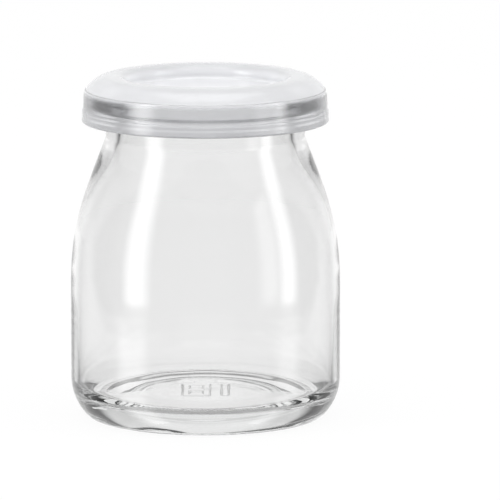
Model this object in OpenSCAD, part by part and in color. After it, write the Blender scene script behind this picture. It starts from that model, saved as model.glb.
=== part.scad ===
// Small round glass jar for one portion of yogurt or pudding, with its
// press-on plastic lid. The jar stands on z = 0 and both pieces are turned
// shapes about the Z axis.

/* [Jar] */
// Height of the glass jar without its lid
jar_h = 85.9; // [71:0.1:104]
// Outside diameter of the straight body
body_d = 68.4; // [57:0.1:84]
// Glass thickness of the straight body
body_wall = 1.7; // [1.2:0.1:2.6]
// Rise of the shoulder from the knee, where the body turns in, to the neck
shoulder_rise = 23.8; // [19:0.1:30]
// Length of the knee's round, measured each way from the knee
knee_reach = 12.4; // [6:0.1:15]
// Thickness of the glass floor at its middle
floor_t = 3.8; // [2.5:0.1:6]

/* [Neck and mouth] */
// Diameter of the mouth
bore_d = 42.8; // [35:0.1:52]
// Glass thickness of the neck
neck_wall = 3.8; // [3:0.1:4.6]
// Glass thickness of the lip
lip_wall = 7.5; // [6.2:0.1:9]
// Height of the neck below the lip
neck_len = 7.1; // [5.9:0.1:10]
// Height of the lip from its underside to the top of the glass
lip_h = 7.2; // [6:0.1:9]
// Radius of the lip's outer top edge
lip_round = 4; // [2.5:0.1:4.4]
// Radius of the mouth's inner top edge
mouth_round = 1.5; // [0.8:0.1:1.8]

/* [Base] */
// Radius of the round heel below the straight body
heel_round = 13; // [8:0.5:16]
// Radius of the tighter round from the heel to the base
base_round = 2.8; // [1.5:0.1:4]
// Height of the hollow under the base
push_up = 2.6; // [1.5:0.1:4]
// Width of the flat ring that the jar stands on
stand_ring_w = 2.8; // [2.3:0.1:4]
// Distance from one knurl notch to the next around the ring
knurl_pitch = 1.8; // [1.5:0.1:3]
// Depth of a knurl notch
knurl_depth = 0.35; // [0.2:0.05:0.5]
// Height of a digit of the mould number
digit_h = 14; // [9:0.5:17]
// How far the mould number stands out from the glass
digit_relief = 0.5; // [0.2:0.05:0.7]

/* [Lid] */
// Thickness of the lid's plastic above the lip and around the plug
lid_t = 1.2; // [0.9:0.1:1.5]
// Thickness of the lid's skirt at the crease below its shoulder
skirt_t = 1.18; // [0.9:0.01:1.5]
// How far the skirt reaches below the lip
skirt_below = 3.3; // [2.7:0.1:4.5]
// Height of the lid's rounded shoulder
shoulder_h = 3.6; // [3:0.1:4.4]
// Depth of the round recess in the lid's top
recess_depth = 3.5; // [2.9:0.1:4.2]
// Height of the thicker band along the lid's lower edge
band_h = 3.1; // [2.5:0.1:4]
// Gap all round between the lid's skirt and the lip
skirt_gap = 0.4; // [0.3:0.05:0.6]
// Gap all round between the lid's plug and the mouth
plug_gap = 0.2; // [0.15:0.05:0.5]
// Height of the snap bead's crown above the skirt's inner face
bead_h = 0.25; // [0.1:0.05:0.3]

/* [Hidden] */
$fn = 180;
arc_sag = 0.015;

body_r = body_d / 2;
bore_r = bore_d / 2;
neck_r = bore_r + neck_wall;
lip_r = bore_r + lip_wall;
lip_z = jar_h - lip_h;
neck_h = lip_z - neck_len;
knee_h = neck_h - shoulder_rise;

// outside of the shoulder: the knee's turn and the radius that fits its reach
knee_turn = atan((body_r - neck_r) / shoulder_rise);
knee_round = knee_reach / tan(knee_turn / 2);
neck_round = 3;
lip_under_round = 1.2;

// inside of the jar: the glass grows thicker towards the neck
inner_r = body_r - body_wall;
inner_knee_lift = 4.2;
inner_knee_h = knee_h + inner_knee_lift;
bore_start_drop = 1.5;
bore_start_h = neck_h - bore_start_drop;
inner_turn = atan((inner_r - bore_r) / (bore_start_h - inner_knee_h));
inner_knee_round = knee_reach / tan(inner_turn / 2);
bore_start_round = 8;
inner_heel_round = 4;

// heel: two rounds that share a slope, and the corners where they would meet
heel_turn = 44;
heel_spare = 0.1;
base_reach = base_round * tan(45 - heel_turn / 2);
heel_slope = heel_round * tan(heel_turn / 2) + base_reach + heel_spare;
heel_corner_h = heel_slope * cos(heel_turn);
base_corner_r = body_r - heel_slope * sin(heel_turn);

// base: hollow middle, flat ring, and a floor that falls a little to the heel
ring_out_r = base_corner_r - base_reach;
ring_in_r = ring_out_r - stand_ring_w;
dome_slope_w = 9;
dome_r = ring_in_r - dome_slope_w;
dome_round = 20;
ring_round = 0.8;
floor_z = push_up + floor_t;
floor_fall = 0.5;
floor_flat_r = 20;

// knurl on the standing ring
knurl_count = floor(PI * (ring_out_r + ring_in_r) / knurl_pitch);
knurl_w = knurl_pitch / 2;
knurl_margin = 0.4;
knurl_start_r = ring_in_r + knurl_margin;
knurl_len = stand_ring_w - ring_round - 2 * knurl_margin;

// mould number
stroke = 1.8;
digit_w = 7;
digit_gap = 3;
root = 0.4;

// lid heights
lid_top_z = jar_h + lid_t;
rim_z = lip_z - skirt_below;
crease_z = lid_top_z - shoulder_h;
band_z = rim_z + band_h;
recess_z = lid_top_z - recess_depth;

// lid radii and rounds
skirt_in_r = lip_r + skirt_gap;
crease_r = skirt_in_r + skirt_t;
shoulder_run = 2.2;
shoulder_round = 7.2;
skirt_flare = 0.3;
skirt_r = crease_r + skirt_flare;
skirt_lead = 1.4;
skirt_round = 2;
draft = 0.15;
band_step = 0.2;
band_r = skirt_r + draft + band_step;
band_round = 0.15;
bead_r = skirt_in_r - bead_h;
bead_drop = 1;
bead_z = lip_z - bead_drop;
bead_half = 0.5;
rim_flare = 0.6;
rim_in_r = skirt_in_r + rim_flare;
rim_lead = 1.2;
rim_round = 0.5;
plug_r = bore_r - plug_gap;
recess_r = plug_r - lid_t;
recess_round = 0.8;
recess_wall_h = 0.1;
recess_edge_round = recess_depth - recess_round - recess_wall_h;

function unit(v) = v / norm(v);

// A corner rounded to the given radius, as points along its arc.
function rounded(before, corner, after, round_r) =
    let (
        side_a = unit(before - corner),
        side_b = unit(after - corner),
        half = acos(side_a * side_b) / 2,
        centre = corner + unit(side_a + side_b) * round_r / sin(half),
        first = corner + side_a * round_r / tan(half) - centre,
        bend = sign(cross(corner - before, after - corner)) * (180 - 2 * half),
        start = atan2(first[1], first[0]),
        steps = ceil(abs(bend) / 2 / acos(1 - arc_sag / round_r))
    )
    [for (k = [0 : steps]) centre + round_r * [cos(start + bend * k / steps), sin(start + bend * k / steps)]];

// A turned piece from corners [radius, height, round], listed anticlockwise.
module turned(corners) {
    n = len(corners);
    points = [for (c = corners) [c[0], c[1]]];
    rotate_extrude() {
        polygon([
            for (i = [0 : n - 1])
                each corners[i][2] > 0
                    ? rounded(points[(i + n - 1) % n], points[i], points[(i + 1) % n], corners[i][2])
                    : [points[i]]
        ]);
    }
}

// Small notches around the standing ring, pointing at the axis.
module knurl() {
    for (i = [0 : knurl_count - 1]) {
        rotate(i * 360 / knurl_count) {
            translate([knurl_start_r, -knurl_w / 2, -knurl_depth]) {
                cube([knurl_len, knurl_w, 2 * knurl_depth]);
            }
        }
    }
}

// One stroke of a digit, from its lower left corner.
module bar(x, y, w, h) {
    translate([x, y, push_up - digit_relief]) cube([w, h, digit_relief + root]);
}

// The plain mould number 18 under the base, read from below.
module mould_number() {
    mid = (digit_h - stroke) / 2;
    mirror([1, 0, 0]) {
        translate([-(digit_w + digit_gap + stroke) / 2, -digit_h / 2, 0]) {
            bar(0, 0, stroke, digit_h);
            translate([stroke + digit_gap, 0, 0]) {
                bar(0, 0, digit_w, stroke);
                bar(0, mid, digit_w, stroke);
                bar(0, digit_h - stroke, digit_w, stroke);
                bar(0, 0, stroke, digit_h);
                bar(digit_w - stroke, 0, stroke, digit_h);
            }
        }
    }
}

// Clear pressed glass: one turned wall from the hollow base to the lip.
module glass_jar() {
    color([0.86, 0.9, 0.88, 0.4]) {
        difference() {
            union() {
                turned([
                    [0, push_up, 0],
                    [dome_r, push_up, dome_round],
                    [ring_in_r, 0, ring_round],
                    [base_corner_r, 0, base_round],
                    [body_r, heel_corner_h, heel_round],
                    [body_r, knee_h, knee_round],
                    [neck_r, neck_h, neck_round],
                    [neck_r, lip_z, lip_under_round],
                    [lip_r, lip_z, lip_under_round],
                    [lip_r, jar_h, lip_round],
                    [bore_r, jar_h, mouth_round],
                    [bore_r, bore_start_h, bore_start_round],
                    [inner_r, inner_knee_h, inner_knee_round],
                    [inner_r, floor_z - floor_fall, inner_heel_round],
                    [floor_flat_r, floor_z, dome_round],
                    [0, floor_z, 0]
                ]);
                mould_number();
            }
            knurl();
        }
    }
}

// Soft translucent plastic: a plug that fills the mouth, a flat land that
// rests on the lip, and a skirt with a bead that sits under the lip.
module snap_lid() {
    color([0.88, 0.89, 0.93, 0.8]) {
        turned([
            [0, recess_z - lid_t, 0],
            [plug_r, recess_z - lid_t, recess_round],
            [plug_r, jar_h, mouth_round],
            [skirt_in_r, jar_h, lip_round + skirt_gap / 2],
            [skirt_in_r, bead_z + 2 * bead_half, 0],
            [bead_r, bead_z + bead_half, 0],
            [bead_r, bead_z, 0],
            [skirt_in_r, bead_z - bead_half, 0],
            [skirt_in_r, rim_z + rim_lead, 0],
            [rim_in_r, rim_z, 0],
            [band_r + draft, rim_z, rim_round],
            [band_r, band_z, band_round],
            [skirt_r + draft, band_z, 0],
            [skirt_r, crease_z - skirt_lead, skirt_round],
            [crease_r, crease_z, 0],
            [crease_r - shoulder_run, lid_top_z, shoulder_round],
            [recess_r, lid_top_z, recess_edge_round],
            [recess_r, recess_z, recess_round],
            [0, recess_z, 0]
        ]);
    }
}

glass_jar();
snap_lid();
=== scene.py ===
import math

import bpy
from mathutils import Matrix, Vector, noise


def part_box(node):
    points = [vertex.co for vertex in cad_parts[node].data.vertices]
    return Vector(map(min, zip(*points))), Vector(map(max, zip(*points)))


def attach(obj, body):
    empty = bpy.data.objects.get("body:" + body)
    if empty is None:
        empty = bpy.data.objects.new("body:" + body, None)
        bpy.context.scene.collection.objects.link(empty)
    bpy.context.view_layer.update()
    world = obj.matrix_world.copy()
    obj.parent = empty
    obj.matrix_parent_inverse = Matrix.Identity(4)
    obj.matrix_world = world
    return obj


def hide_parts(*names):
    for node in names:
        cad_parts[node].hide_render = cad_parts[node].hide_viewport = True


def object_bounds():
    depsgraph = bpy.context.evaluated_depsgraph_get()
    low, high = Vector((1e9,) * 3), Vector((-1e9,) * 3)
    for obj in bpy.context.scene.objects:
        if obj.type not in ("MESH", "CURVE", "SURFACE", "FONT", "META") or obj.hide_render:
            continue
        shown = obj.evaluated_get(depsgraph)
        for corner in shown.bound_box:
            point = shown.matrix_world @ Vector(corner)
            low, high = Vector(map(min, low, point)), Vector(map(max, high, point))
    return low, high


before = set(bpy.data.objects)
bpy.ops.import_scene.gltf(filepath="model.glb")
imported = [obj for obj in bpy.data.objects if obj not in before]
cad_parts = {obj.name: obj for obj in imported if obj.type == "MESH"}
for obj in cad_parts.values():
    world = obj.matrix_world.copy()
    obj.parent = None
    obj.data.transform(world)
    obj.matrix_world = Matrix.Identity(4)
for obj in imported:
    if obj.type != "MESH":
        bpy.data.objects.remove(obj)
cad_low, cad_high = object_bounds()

# ---------------------------------------------------------------- glass jar
# A small portion jar of clear soda-lime glass, pressed and blown in one piece. Its wall is
# thin in the straight body and heavy in the neck, the lip and the heel. The mould shapes the
# outside and the base; the floor inside, which no mould touched, is a little uneven.

mm = 0.001

# the outside, from the mouth down to the heel
jar_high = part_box("glass_jar")[1]
jar_h = jar_high.z
body_r = jar_high.x
bore_r = 21.4 * mm
neck_r = 25.2 * mm
lip_r = 28.9 * mm
lip_z = jar_h - 7.2 * mm
neck_z = lip_z - 7.1 * mm
knee_z = neck_z - 23.8 * mm
mouth_end_z = jar_h - 3 * mm
mouth_round = 1.5 * mm
lip_round = 4 * mm
lip_under_round = 1.2 * mm
neck_round = 3 * mm
knee_reach = 12.4 * mm
knee_turn = math.atan((body_r - neck_r) / (neck_z - knee_z))
knee_round = knee_reach / math.tan(knee_turn / 2)
heel_corner_z = 4.7 * mm
heel_round = 13 * mm
base_corner_r = body_r - 4.54 * mm
base_round = 2.8 * mm
ease_outside = (knee_z - 14 * mm, neck_z - 3 * mm)

# the hollow under the base, and the ring that the jar stands on
ring_in_r = body_r - 8.53 * mm
ring_round = 0.8 * mm
dome_r = ring_in_r - 9 * mm
dome_round = 20 * mm
push_up = 2.6 * mm

# the inside: a body wall that thickens towards the heel, and the floor
thin_wall = 1.1 * mm
heel_wall = 2.1 * mm
thin_z = 32 * mm
thin_round = 150 * mm
floor_z = 6.4 * mm
floor_fall = 0.5 * mm
floor_flat_r = 20 * mm
floor_round = 20 * mm
inner_body_r = body_r - thin_wall
inner_heel_round = 4 * mm
inner_knee_z = knee_z + 4.2 * mm
bore_top_z = mouth_end_z - 0.5 * mm
bore_start_z = neck_z - 1.5 * mm
bore_start_round = 8 * mm
inner_turn = math.atan((inner_body_r - bore_r) / (bore_start_z - inner_knee_z))
inner_knee_round = knee_reach / math.tan(inner_turn / 2)
ease_inside = (knee_z - 10 * mm, neck_z + 2 * mm)


def rounded_corner(before, corner, after, radius):
    """Points along the arc that rounds one corner of an outline."""
    sag = 0.004 * mm
    side_a = (before - corner).normalized()
    side_b = (after - corner).normalized()
    half = side_a.angle(side_b) / 2
    centre = corner + (side_a + side_b).normalized() * radius / math.sin(half)
    first = corner + side_a * radius / math.tan(half) - centre
    turn = (corner - before).to_3d().cross((after - corner).to_3d()).z
    sweep = math.copysign(math.pi - 2 * half, turn)
    start = math.atan2(first.y, first.x)
    steps = max(2, math.ceil(abs(sweep) / 2 / math.acos(1 - sag / radius)))
    angles = [start + sweep * k / steps for k in range(steps + 1)]
    return [centre + radius * Vector((math.cos(a), math.sin(a))) for a in angles]


def rounded_outline(corners):
    """An open outline of (radius, height, round) corners with its rounds drawn."""
    places = [Vector(c[:2]) for c in corners]
    points = [places[0]]
    for k in range(1, len(corners) - 1):
        if corners[k][2]:
            points += rounded_corner(places[k - 1], places[k], places[k + 1], corners[k][2])
        else:
            points.append(places[k])
    return points + [places[-1]]


def evenly_filled(points, longest):
    """The same outline with points added so that no step is longer than asked."""
    filled = [points[0]]
    for a, b in zip(points, points[1:]):
        steps = max(1, math.ceil((b - a).length / longest))
        filled += [a.lerp(b, k / steps) for k in range(1, steps + 1)]
    return filled


def eased(points, low, high):
    """The same outline with its bends between two heights eased into one another."""
    passes = 30
    pull = 0.5
    for _ in range(passes):
        inner = []
        for a, b, c in zip(points, points[1:], points[2:]):
            inner.append(b.lerp((a + c) / 2, pull) if low < b.y < high else b)
        points = [points[0]] + inner + [points[-1]]
    return points


def rows_along(points, move=None):
    """Rows for a turned piece, one at each point of an outline."""
    return [(p.x, p.y, move) for p in points]


def turned_piece(name, rows, sides):
    """A closed surface turned about Z, from rows of (radius, height, move).

    The first and last rows lie on the axis. A row's move, where it has one,
    takes a point and its step around the axis and gives the moved point.
    """
    vertices = [(0, 0, rows[0][1])]
    for r, z, move in rows[1:-1]:
        for k in range(sides):
            angle = 2 * math.pi * k / sides
            point = Vector((r * math.cos(angle), r * math.sin(angle), z))
            vertices.append(move(point, k) if move else point)
    vertices.append((0, 0, rows[-1][1]))
    last = len(vertices) - 1
    faces = []
    for k in range(sides):
        after = (k + 1) % sides
        faces.append((0, 1 + after, 1 + k))
        for a in range(1, last - sides, sides):
            b = a + sides
            faces.append((a + k, a + after, b + after, b + k))
        faces.append((last - sides + k, last - sides + after, last))
    mesh = bpy.data.meshes.new(name)
    mesh.from_pydata(vertices, [], faces)
    mesh.shade_smooth()
    piece = bpy.data.objects.new(name, mesh)
    bpy.context.scene.collection.objects.link(piece)
    return piece


def smooth_step(x, low, high):
    """A number that goes smoothly from 0 to 1 while x goes from low to high."""
    t = min(1, max(0, (x - low) / (high - low)))
    return t * t * (3 - 2 * t)


# the mould number under the base, 18 in plain strokes, each (left, low, width, height)
stroke = 1.8 * mm
stroke_edge = 0.5 * mm
digit_h = 14 * mm
digit_w = 7 * mm
digit_gap = 3 * mm
digit_relief = 0.5 * mm
one_left = -(digit_w + digit_gap + stroke) / 2
eight_left = one_left + stroke + digit_gap
digit_low = -digit_h / 2
number_bars = [
    (one_left, digit_low, stroke, digit_h),
    (eight_left, digit_low, digit_w, stroke),
    (eight_left, -stroke / 2, digit_w, stroke),
    (eight_left, digit_h / 2 - stroke, digit_w, stroke),
    (eight_left, digit_low, stroke, digit_h),
    (eight_left + digit_w - stroke, digit_low, stroke, digit_h),
]
number_reach = 10 * mm
number_grid = 0.2 * mm


def with_number(point, step):
    """Lowers a point by the relief where it lies on a stroke, mirrored to read from below."""
    nearest = digit_h
    for left, low, width, height in number_bars:
        dx = abs(-point.x - left - width / 2) - width / 2
        dy = abs(point.y - low - height / 2) - height / 2
        nearest = min(nearest, max(dx, dy))
    point.z -= digit_relief * (1 - smooth_step(nearest, -stroke_edge / 2, stroke_edge / 2))
    return point


# short notches all round the ring that the jar stands on
knurl_count = 94
knurl_depth = 0.35 * mm
knurl_in_r = ring_in_r + 0.4 * mm
knurl_out_r = ring_in_r + 1.6 * mm
knurl_slope = 0.15 * mm
steps_per_notch = 4
jar_sides = knurl_count * steps_per_notch


def with_knurl(point, step):
    """Lifts the second half of each notch's steps off the ground."""
    if step % steps_per_notch >= steps_per_notch / 2:
        point.z += knurl_depth
    return point


# slow waves in the floor inside, which die out up the wall
wave_height = 0.14 * mm
wave_length = 8 * mm
wave_fade = (8 * mm, 16 * mm)


def with_waves(point, step):
    """Moves a point of the inside up or down with the waves."""
    low_down = 1 - smooth_step(point.z, *wave_fade)
    point.z += wave_height * low_down * noise.noise(point / wave_length)
    return point


# the rows of the jar: the number's field, the hollow, the knurled ring, the outside, the inside
row_step = 1.2 * mm
rows = []
for k in range(round(number_reach / number_grid) + 1):
    rows.append((k * number_grid, push_up, with_number))
hollow = rounded_outline([
    (number_reach, push_up, 0),
    (dome_r, push_up, dome_round),
    (ring_in_r, 0, ring_round),
    (knurl_in_r, 0, 0),
])
rows += rows_along(evenly_filled(hollow, row_step)[1:])
for r in (knurl_in_r + knurl_slope, (knurl_in_r + knurl_out_r) / 2, knurl_out_r - knurl_slope):
    rows.append((r, 0, with_knurl))
rows.append((knurl_out_r, 0, None))
outside = rounded_outline([
    (knurl_out_r + 0.1 * mm, 0, 0),
    (base_corner_r, 0, base_round),
    (body_r, heel_corner_z, heel_round),
    (body_r, knee_z, knee_round),
    (neck_r, neck_z, neck_round),
    (neck_r, lip_z, lip_under_round),
    (lip_r, lip_z, lip_under_round),
    (lip_r, jar_h, lip_round),
    (bore_r, jar_h, mouth_round),
    (bore_r, mouth_end_z, 0),
])
rows += rows_along(eased(evenly_filled(outside, row_step), *ease_outside))
inside = rounded_outline([
    (bore_r, bore_top_z, 0),
    (bore_r, bore_start_z, bore_start_round),
    (inner_body_r, inner_knee_z, inner_knee_round),
    (inner_body_r, thin_z, thin_round),
    (body_r - heel_wall, floor_z - floor_fall, inner_heel_round),
    (floor_flat_r, floor_z, floor_round),
    (0, floor_z, 0),
])
rows += rows_along(eased(evenly_filled(inside, row_step), *ease_inside), with_waves)
jar = turned_piece("jar_glass_wall", rows, jar_sides)


def new_material(name):
    """A material with its node tree and its main shader."""
    material = bpy.data.materials.new(name)
    material.use_nodes = True
    return material, material.node_tree, material.node_tree.nodes["Principled BSDF"]


def clear_glass():
    """Clear glass with the faintest grey cast in its thick parts, and slow ripples from the mould."""
    glass, tree, shader = new_material("clear_glass")
    shader.inputs["Base Color"].default_value = (1, 1, 1, 1)
    shader.inputs["Roughness"].default_value = 0.0
    shader.inputs["IOR"].default_value = 1.51
    shader.inputs["Transmission Weight"].default_value = 1.0
    cast = tree.nodes.new("ShaderNodeVolumeAbsorption")
    cast.inputs["Color"].default_value = (0.90, 0.905, 0.903, 1)
    cast.inputs["Density"].default_value = 20
    tree.links.new(cast.outputs[0], tree.nodes["Material Output"].inputs["Volume"])
    place = tree.nodes.new("ShaderNodeTexCoord").outputs["Object"]
    ripple = tree.nodes.new("ShaderNodeTexNoise")
    ripple.inputs["Scale"].default_value = 55
    ripple.inputs["Detail"].default_value = 1.0
    tree.links.new(place, ripple.inputs["Vector"])
    bump = tree.nodes.new("ShaderNodeBump")
    bump.inputs["Strength"].default_value = 0.03
    bump.inputs["Distance"].default_value = 0.4 * mm
    tree.links.new(ripple.outputs["Fac"], bump.inputs["Height"])
    tree.links.new(bump.outputs["Normal"], shader.inputs["Normal"])
    return glass


jar.data.materials.append(clear_glass())
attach(jar, "jar")
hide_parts("glass_jar")

# ---------------------------------------------------------------- snap lid
# A soft polyethylene lid, injection moulded in one piece. Its plug fills the mouth, its top
# lies on the lip, and its skirt snaps down over the lip with a bead on its inner face.

lid_low, lid_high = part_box("snap_lid")
lid_t = lid_high.z - jar_h

# its underside stands a hair above the lip, so that the two faces don't share a plane
seat_z = jar_h + 0.05 * mm

# the plug, and the recess in the top
plug_r = bore_r - 0.2 * mm
plug_round = 0.8 * mm
plug_root_round = 1.5 * mm
recess_r = plug_r - lid_t
recess_z = lid_high.z - 3.5 * mm
recess_round = 0.8 * mm
recess_edge_round = 2.6 * mm
plug_end_z = recess_z - lid_t

# the skirt's inner face, its bead and its rim
skirt_in_r = lip_r + 0.4 * mm
skirt_root_round = 4.2 * mm
bead_r = skirt_in_r - 0.25 * mm
bead_z = lip_z - 1 * mm
bead_half = 0.5 * mm
bead_round = 0.2 * mm
bead_foot_round = 0.1 * mm
rim_z = lid_low.z
rim_lead_z = rim_z + 1.2 * mm
rim_lead_round = 0.3 * mm
rim_in_r = skirt_in_r + 0.6 * mm
rim_in_round = 0.2 * mm
rim_round = 0.5 * mm

# the outside: the shoulder, the crease below it, the skirt and the thicker band at the rim
crease_r = skirt_in_r + 1.18 * mm
crease_z = lid_high.z - 3.6 * mm
crease_step = 0.2 * mm
crease_round = 0.06 * mm
crease_root_round = 0.05 * mm
shoulder_run = 2.2 * mm
shoulder_round = 7.1 * mm
skirt_r = crease_r + 0.3 * mm
skirt_top_z = crease_z - 1.4 * mm
skirt_round = 2 * mm
draft = 0.15 * mm
band_r = skirt_r + 0.35 * mm
band_z = rim_z + 3.1 * mm
band_round = 0.12 * mm
band_root_round = 0.05 * mm

lid_outline = rounded_outline([
    (0, plug_end_z, 0),
    (plug_r, plug_end_z, plug_round),
    (plug_r, seat_z, plug_root_round),
    (skirt_in_r, seat_z, skirt_root_round),
    (skirt_in_r, bead_z + 2 * bead_half, bead_round),
    (bead_r, bead_z + bead_half, bead_round),
    (bead_r, bead_z, bead_round),
    (skirt_in_r, bead_z - bead_half, bead_foot_round),
    (skirt_in_r, rim_lead_z, rim_lead_round),
    (rim_in_r, rim_z, rim_in_round),
    (band_r + draft, rim_z, rim_round),
    (band_r, band_z, band_round),
    (skirt_r + draft, band_z, band_root_round),
    (skirt_r, skirt_top_z, skirt_round),
    (crease_r, crease_z, crease_round),
    (crease_r - crease_step, crease_z, crease_root_round),
    (crease_r - shoulder_run, lid_high.z, shoulder_round),
    (recess_r, lid_high.z, recess_edge_round),
    (recess_r, recess_z, recess_round),
    (0, recess_z, 0),
])
lid_row_step = 1 * mm
lid_sides = 320
lid = turned_piece("lid_plastic_shell", rows_along(evenly_filled(lid_outline, lid_row_step)), lid_sides)


def fading(tree, value, over, levels):
    """A socket that goes smoothly from one level to another while value goes over a range."""
    ramp = tree.nodes.new("ShaderNodeMapRange")
    ramp.interpolation_type = "SMOOTHSTEP"
    for name, number in zip(("From Min", "From Max", "To Min", "To Max"), over + levels):
        ramp.inputs[name].default_value = number
    tree.links.new(value, ramp.inputs["Value"])
    return ramp.outputs[0]


def joined(tree, operation, *values):
    """A socket that combines sockets or numbers by one kind of sum."""
    step = tree.nodes.new("ShaderNodeMath")
    step.operation = operation
    for k, value in enumerate(values):
        if isinstance(value, (int, float)):
            step.inputs[k].default_value = value
        else:
            tree.links.new(value, step.inputs[k])
    return step.outputs[0]


def parts_of(tree, place):
    """The X, Y and Z sockets of a place or a direction."""
    parts = tree.nodes.new("ShaderNodeSeparateXYZ")
    tree.links.new(place, parts.inputs[0])
    return parts.outputs


def length_of(tree, place):
    """A socket with the distance from the origin to a place."""
    length = tree.nodes.new("ShaderNodeVectorMath")
    length.operation = "LENGTH"
    tree.links.new(place, length.inputs[0])
    return length.outputs["Value"]


# how clear the plastic is, where 1 is as clear as glass: the plate in the recess keeps a share
# of the top's clearness, and the clouds take a little away everywhere
skirt_clear = 0.97
top_clear = 0.4
rim_clear = 0.68
plate_share = 0.45
cloud_loss = 0.1
top_fade = (skirt_top_z, crease_z + 0.4 * mm)
rim_fade = (band_z - 0.1 * mm, band_z + 2.4 * mm)
plate_fade = (recess_r, recess_r + 1 * mm)


def translucent_plastic():
    """Soft plastic that is nearly clear in the thin skirt and milkier in the top and the band.

    The flat plate in the recess is the milkiest. Faint clouds from the melt run through it all.
    """
    plastic, tree, shader = new_material("translucent_plastic")
    shader.inputs["Roughness"].default_value = 0.14
    shader.inputs["IOR"].default_value = 1.5
    shader.inputs["Base Color"].default_value = (0.805, 0.81, 0.83, 1)
    place = tree.nodes.new("ShaderNodeTexCoord").outputs["Object"]
    height = parts_of(tree, place)["Z"]
    # the plate is told by its distance from the axis
    level_part = tree.nodes.new("ShaderNodeVectorMath")
    level_part.operation = "MULTIPLY"
    level_part.inputs[1].default_value = (1, 1, 0)
    tree.links.new(place, level_part.inputs[0])
    radius = length_of(tree, level_part.outputs[0])
    top = fading(tree, height, top_fade, (skirt_clear, top_clear))
    rim = fading(tree, height, rim_fade, (rim_clear, 1))
    plate = fading(tree, radius, plate_fade, (plate_share, 1))
    share_clear = joined(tree, "MULTIPLY", joined(tree, "MINIMUM", top, rim), plate)
    cloud = tree.nodes.new("ShaderNodeTexNoise")
    cloud.inputs["Scale"].default_value = 110
    cloud.inputs["Detail"].default_value = 2
    tree.links.new(place, cloud.inputs["Vector"])
    clouded = joined(tree, "MULTIPLY_ADD", cloud.outputs["Fac"], -cloud_loss, share_clear)
    tree.links.new(clouded, shader.inputs["Transmission Weight"])
    return plastic


lid.data.materials.append(translucent_plastic())
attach(lid, "lid")
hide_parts("snap_lid")

# ---------------------------------------------------------------- floor
# A smooth white table top under the jar, painted matt. It reaches far past the jar on every
# side, so that no edge shows, and it keeps the jar's shadow.

floor_size = 3.0
bpy.ops.mesh.primitive_plane_add(size=floor_size, location=(0, 0, cad_low.z))
floor = bpy.context.object
floor.name = "floor"

# the share of plain white laid over the paint where it is seen straight or through glass; the
# rest is the paint itself, which holds the shadow
white_share = 0.94

# how white the surroundings glow through the glass: straight through it, and, in front of the jar, to
# light that has turned back inside the glass, where the dim front is painted shade
see_through = 0.935
front_level = 0.04

# the floor's glow to light turned back inside the glass, painted light and shade set by the count of
# surfaces met and not by the lamps: a painted pool of light near the jar, white behind it and painted
# dim elsewhere. A direction is a cosine, and 1 is straight behind any part of the jar's width
near_painted_glow = 0.45
near_painted_glow_fade = (30 * mm, 70 * mm)
behind_level = 0.95
behind_fade = (0.7, 0.88)
behind_half_width = 30 * mm

# painted shade: light that has turned many times loses the floor's glow, but for the part straight
# behind the jar
many_turns_fade = (5, 6.5)
many_turns_loss = 0.9
kept_fade = (0.8, 0.95)


def show_blend(tree, share, shader, other):
    """Shows a shader, with a share of another one laid over it."""
    mix = tree.nodes.new("ShaderNodeMixShader")
    tree.links.new(share, mix.inputs["Fac"])
    tree.links.new(shader.outputs[0], mix.inputs[1])
    tree.links.new(other.outputs[0], mix.inputs[2])
    tree.links.new(mix.outputs[0], tree.nodes["Material Output"].inputs["Surface"])


def floor_paint():
    """Matt white, shown as plain white to the camera and through glass, with the painted light and shade
    set above in its glow.
    """
    paint, tree, shader = new_material("floor_paint")
    shader.inputs["Base Color"].default_value = (0.9, 0.9, 0.9, 1)
    shader.inputs["Roughness"].default_value = 0.9
    shader.inputs["Specular IOR Level"].default_value = 0.0
    seen = tree.nodes.new("ShaderNodeLightPath").outputs
    place = tree.nodes.new("ShaderNodeTexCoord").outputs["Object"]
    towards = parts_of(tree, place)
    aside = joined(tree, "SUBTRACT", joined(tree, "ABSOLUTE", towards["X"]), behind_half_width)
    angle = joined(tree, "ARCTAN2", joined(tree, "MAXIMUM", aside, 0), towards["Y"])
    behind = joined(tree, "COSINE", angle)
    near = fading(tree, length_of(tree, place), near_painted_glow_fade, (near_painted_glow, 0))
    far = fading(tree, behind, behind_fade, (front_level, behind_level))
    turned_back = joined(tree, "MAXIMUM", near, far)
    # the count of surfaces met so far is even where light came straight through the glass
    straight = joined(tree, "SUBTRACT", 1, joined(tree, "MODULO", seen["Ray Depth"], 2))
    gain = joined(tree, "SUBTRACT", see_through, turned_back)
    through = joined(tree, "MULTIPLY_ADD", straight, gain, turned_back)
    many_turns = fading(tree, seen["Ray Depth"], many_turns_fade, (0, many_turns_loss))
    lost = joined(tree, "MULTIPLY", many_turns, fading(tree, behind, kept_fade, (1, 0)))
    through = joined(tree, "SUBTRACT", through, lost)
    glow = tree.nodes.new("ShaderNodeEmission")
    tree.links.new(joined(tree, "MAXIMUM", seen["Is Camera Ray"], through), glow.inputs["Strength"])
    share = joined(tree, "MAXIMUM", seen["Is Camera Ray"], seen["Is Transmission Ray"])
    show_blend(tree, joined(tree, "MULTIPLY", share, white_share), shader, glow)
    return paint


floor.data.materials.append(floor_paint())
# the glass mirrors the room and the soft boxes in its place
floor.visible_glossy = False

# ---------------------------------------------------------------- room
# White walls all round, plain white as they are seen straight and nearly so through the glass. To light
# that has turned back inside the glass their glow is painted as a bright backdrop, a dim front and two
# dark sides, painted shade where no cloth hangs, which draw the dark lines along the jar's edges.

# the backdrop to light turned back inside the glass, its glow painted by the count of surfaces met, and
# the part of it higher up that is white; directions are the parts of an arrow of length 1
turned_level = 0.78
backdrop_fade = (0.64, 0.82)
raised_from_height = (0.06, 0.17)
raised_fade = (0.88, 0.96)

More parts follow.
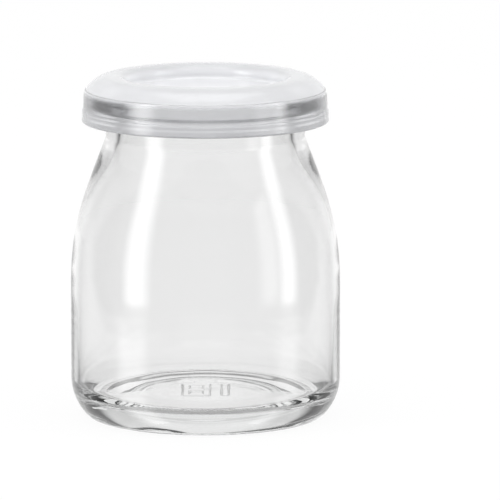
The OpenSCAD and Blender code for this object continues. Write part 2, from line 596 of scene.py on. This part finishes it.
# the painted dark at the sides, painted shade in the room's glow where no cloth hangs, which only light
# that has turned many times finds, and the least grey that is left for light that has turned almost
# without end
dark_sides_top_fade = (0.62, 0.75)
dark_sides_fade = (0.3, 0.5)
dark_sides_loss = 0.9
countless_turns_fade = (11, 16)
countless_turns_level = 0.2

# the room as the glass and the lid mirror it, and as it lights what is matt
mirror_fade = (0, 0.5)
low_light = 0.75
light_fade = (-0.3, 0.5)

world = bpy.data.worlds.new("studio")
bpy.context.scene.world = world
world.use_nodes = True
tree = world.node_tree
seen = tree.nodes.new("ShaderNodeLightPath").outputs
towards = parts_of(tree, tree.nodes.new("ShaderNodeTexCoord").outputs["Generated"])
aside = joined(tree, "ABSOLUTE", towards["X"])
behind, up = towards["Y"], towards["Z"]
raised_up = fading(tree, up, raised_from_height, (0, 1 - turned_level))
raised = joined(tree, "MULTIPLY", raised_up, fading(tree, behind, raised_fade, (0, 1)))
backdrop = fading(tree, behind, backdrop_fade, (front_level, turned_level))
turned_back = joined(tree, "ADD", backdrop, raised)
# the room counts one surface more than the floor does, so here odd is straight through
straight = joined(tree, "MODULO", seen["Ray Depth"], 2)
gain = joined(tree, "SUBTRACT", see_through, turned_back)
through = joined(tree, "MULTIPLY_ADD", straight, gain, turned_back)
# painted shade: the room's glow is darkened at the sides for light that has turned many times inside the
# glass
dark_sides_top = fading(tree, up, dark_sides_top_fade, (1, 0))
painted_dark_sides = joined(tree, "MULTIPLY", dark_sides_top, fading(tree, aside, dark_sides_fade, (0, 1)))
many_turns = fading(tree, seen["Ray Depth"], many_turns_fade, (0, 1))
dimmed = joined(tree, "MULTIPLY", joined(tree, "MULTIPLY", many_turns, painted_dark_sides), dark_sides_loss)
through = joined(tree, "SUBTRACT", through, dimmed)
countless_turns = fading(tree, seen["Ray Depth"], countless_turns_fade, (0, countless_turns_level))
through = joined(tree, "MAXIMUM", through, countless_turns)
only_mirrored = joined(tree, "SUBTRACT", seen["Is Glossy Ray"], seen["Is Transmission Ray"])
mirrored = fading(tree, behind, mirror_fade, (front_level, 1))
lighting = fading(tree, up, light_fade, (low_light, 1))
level = joined(tree, "MULTIPLY", seen["Is Transmission Ray"], through)
level = joined(tree, "MAXIMUM", level, joined(tree, "MULTIPLY", only_mirrored, mirrored))
level = joined(tree, "MAXIMUM", level, joined(tree, "MULTIPLY", seen["Is Diffuse Ray"], lighting))
level = joined(tree, "MAXIMUM", level, seen["Is Camera Ray"])
room = tree.nodes["Background"]
room.inputs["Color"].default_value = (1, 1, 1, 1)
tree.links.new(level, room.inputs["Strength"])

# ---------------------------------------------------------------- soft boxes
# Lit panels of white cloth that fade out towards their edges: upright ones to the left and
# right of the jar, which draw the streaks along the glass, and one above it for the lid. The
# glass doesn't mirror the floor, so the low boxes carry the streaks on down to the heel.


def soft_box_glow(name, half_w, half_h, strength, fade_sides, fade_ends):
    """An even glow that fades out over a width at a panel's sides and another at its ends."""
    paint, tree, shader = new_material(name)
    tree.nodes.remove(shader)
    glow = tree.nodes.new("ShaderNodeEmission")
    glow.inputs["Strength"].default_value = strength
    parts = parts_of(tree, tree.nodes.new("ShaderNodeTexCoord").outputs["Object"])
    levels = []
    for part, half, fade in ((parts["X"], half_w, fade_sides), (parts["Y"], half_h, fade_ends)):
        distance = joined(tree, "ABSOLUTE", part)
        levels.append(fading(tree, distance, (half, half - fade), (0, 1)))
    clear = tree.nodes.new("ShaderNodeBsdfTransparent")
    show_blend(tree, joined(tree, "MULTIPLY", *levels), clear, glow)
    return paint


def soft_box(name, centre, facing, width, height, strength, fade_sides, fade_ends, through_glass):
    """A glowing panel square to a direction, which is seen through the glass or only mirrored."""
    half_w, half_h = width / 2, height / 2
    mesh = bpy.data.meshes.new(name)
    corners = [(-half_w, -half_h, 0), (half_w, -half_h, 0), (half_w, half_h, 0), (-half_w, half_h, 0)]
    mesh.from_pydata(corners, [], [(0, 1, 2, 3)])
    mesh.materials.append(soft_box_glow(name + "_glow", half_w, half_h, strength, fade_sides, fade_ends))
    panel = bpy.data.objects.new(name, mesh)
    panel.location = centre
    panel.rotation_euler = facing.to_track_quat("Z", "Y").to_euler()
    panel.visible_camera = False
    panel.visible_shadow = False
    panel.visible_transmission = through_glass
    bpy.context.scene.collection.objects.link(panel)


def standing_box(name, azimuth, bottom, top, width, strength, fade_sides, fade_ends, through_glass):
    """An upright soft box; azimuth 0 is in front of the jar and grows to the right."""
    distance = 0.6
    a = math.radians(azimuth)
    facing = Vector((math.sin(a), -math.cos(a), 0)) * distance
    centre = facing + Vector((0, 0, (bottom + top) / 2))
    soft_box(name, centre, facing, width, top - bottom, strength, fade_sides, fade_ends, through_glass)


standing_box(
    "soft_box_left", azimuth=-60, bottom=-0.080, top=0.60, width=0.36,
    strength=5.4, fade_sides=0.15, fade_ends=0.035, through_glass=False,
)
standing_box(
    "soft_box_left_low", azimuth=-64, bottom=-1.20, top=-0.066, width=0.42,
    strength=2.6, fade_sides=0.15, fade_ends=0.02, through_glass=True,
)
standing_box(
    "soft_box_right", azimuth=74, bottom=-0.080, top=0.60, width=0.28,
    strength=5.0, fade_sides=0.125, fade_ends=0.035, through_glass=False,
)
standing_box(
    "soft_box_right_wide", azimuth=56, bottom=-0.075, top=0.36, width=0.30,
    strength=2.1, fade_sides=0.13, fade_ends=0.04, through_glass=False,
)
standing_box(
    "soft_box_right_low", azimuth=73, bottom=-1.20, top=-0.066, width=0.36,
    strength=1.8, fade_sides=0.15, fade_ends=0.02, through_glass=True,
)
overhead = Vector((0, 0, 1))
soft_box(
    "soft_box_top", centre=overhead, facing=overhead, width=1.0, height=1.0,
    strength=2.0, fade_sides=0.25, fade_ends=0.25, through_glass=False,
)

# ---------------------------------------------------------------- camera
# A long lens from a little above the jar, level from left to right. The jar stands to the
# left of the middle, with white space to its right.

camera_distance = 1.604
camera_elevation = math.radians(9.455)
aim = Vector((11.29 * mm, 0, 42.31 * mm))
lens_length = 455.1
sensor_width = 36
camera_data = bpy.data.cameras.new("camera")
camera_data.lens = lens_length
camera_data.sensor_width = sensor_width
camera = bpy.data.objects.new("camera", camera_data)
away = Vector((0, -math.cos(camera_elevation), math.sin(camera_elevation)))
camera.location = aim + away * camera_distance
camera.rotation_euler = (math.pi / 2 - camera_elevation, 0, 0)
bpy.context.scene.collection.objects.link(camera)
bpy.context.scene.camera = camera
bpy.context.scene.view_settings.view_transform = "Standard"

# thick glass turns light around inside it many times before letting it out
most_bounces = 32
cycles = bpy.context.scene.cycles
cycles.max_bounces = most_bounces
cycles.glossy_bounces = most_bounces
cycles.transmission_bounces = most_bounces
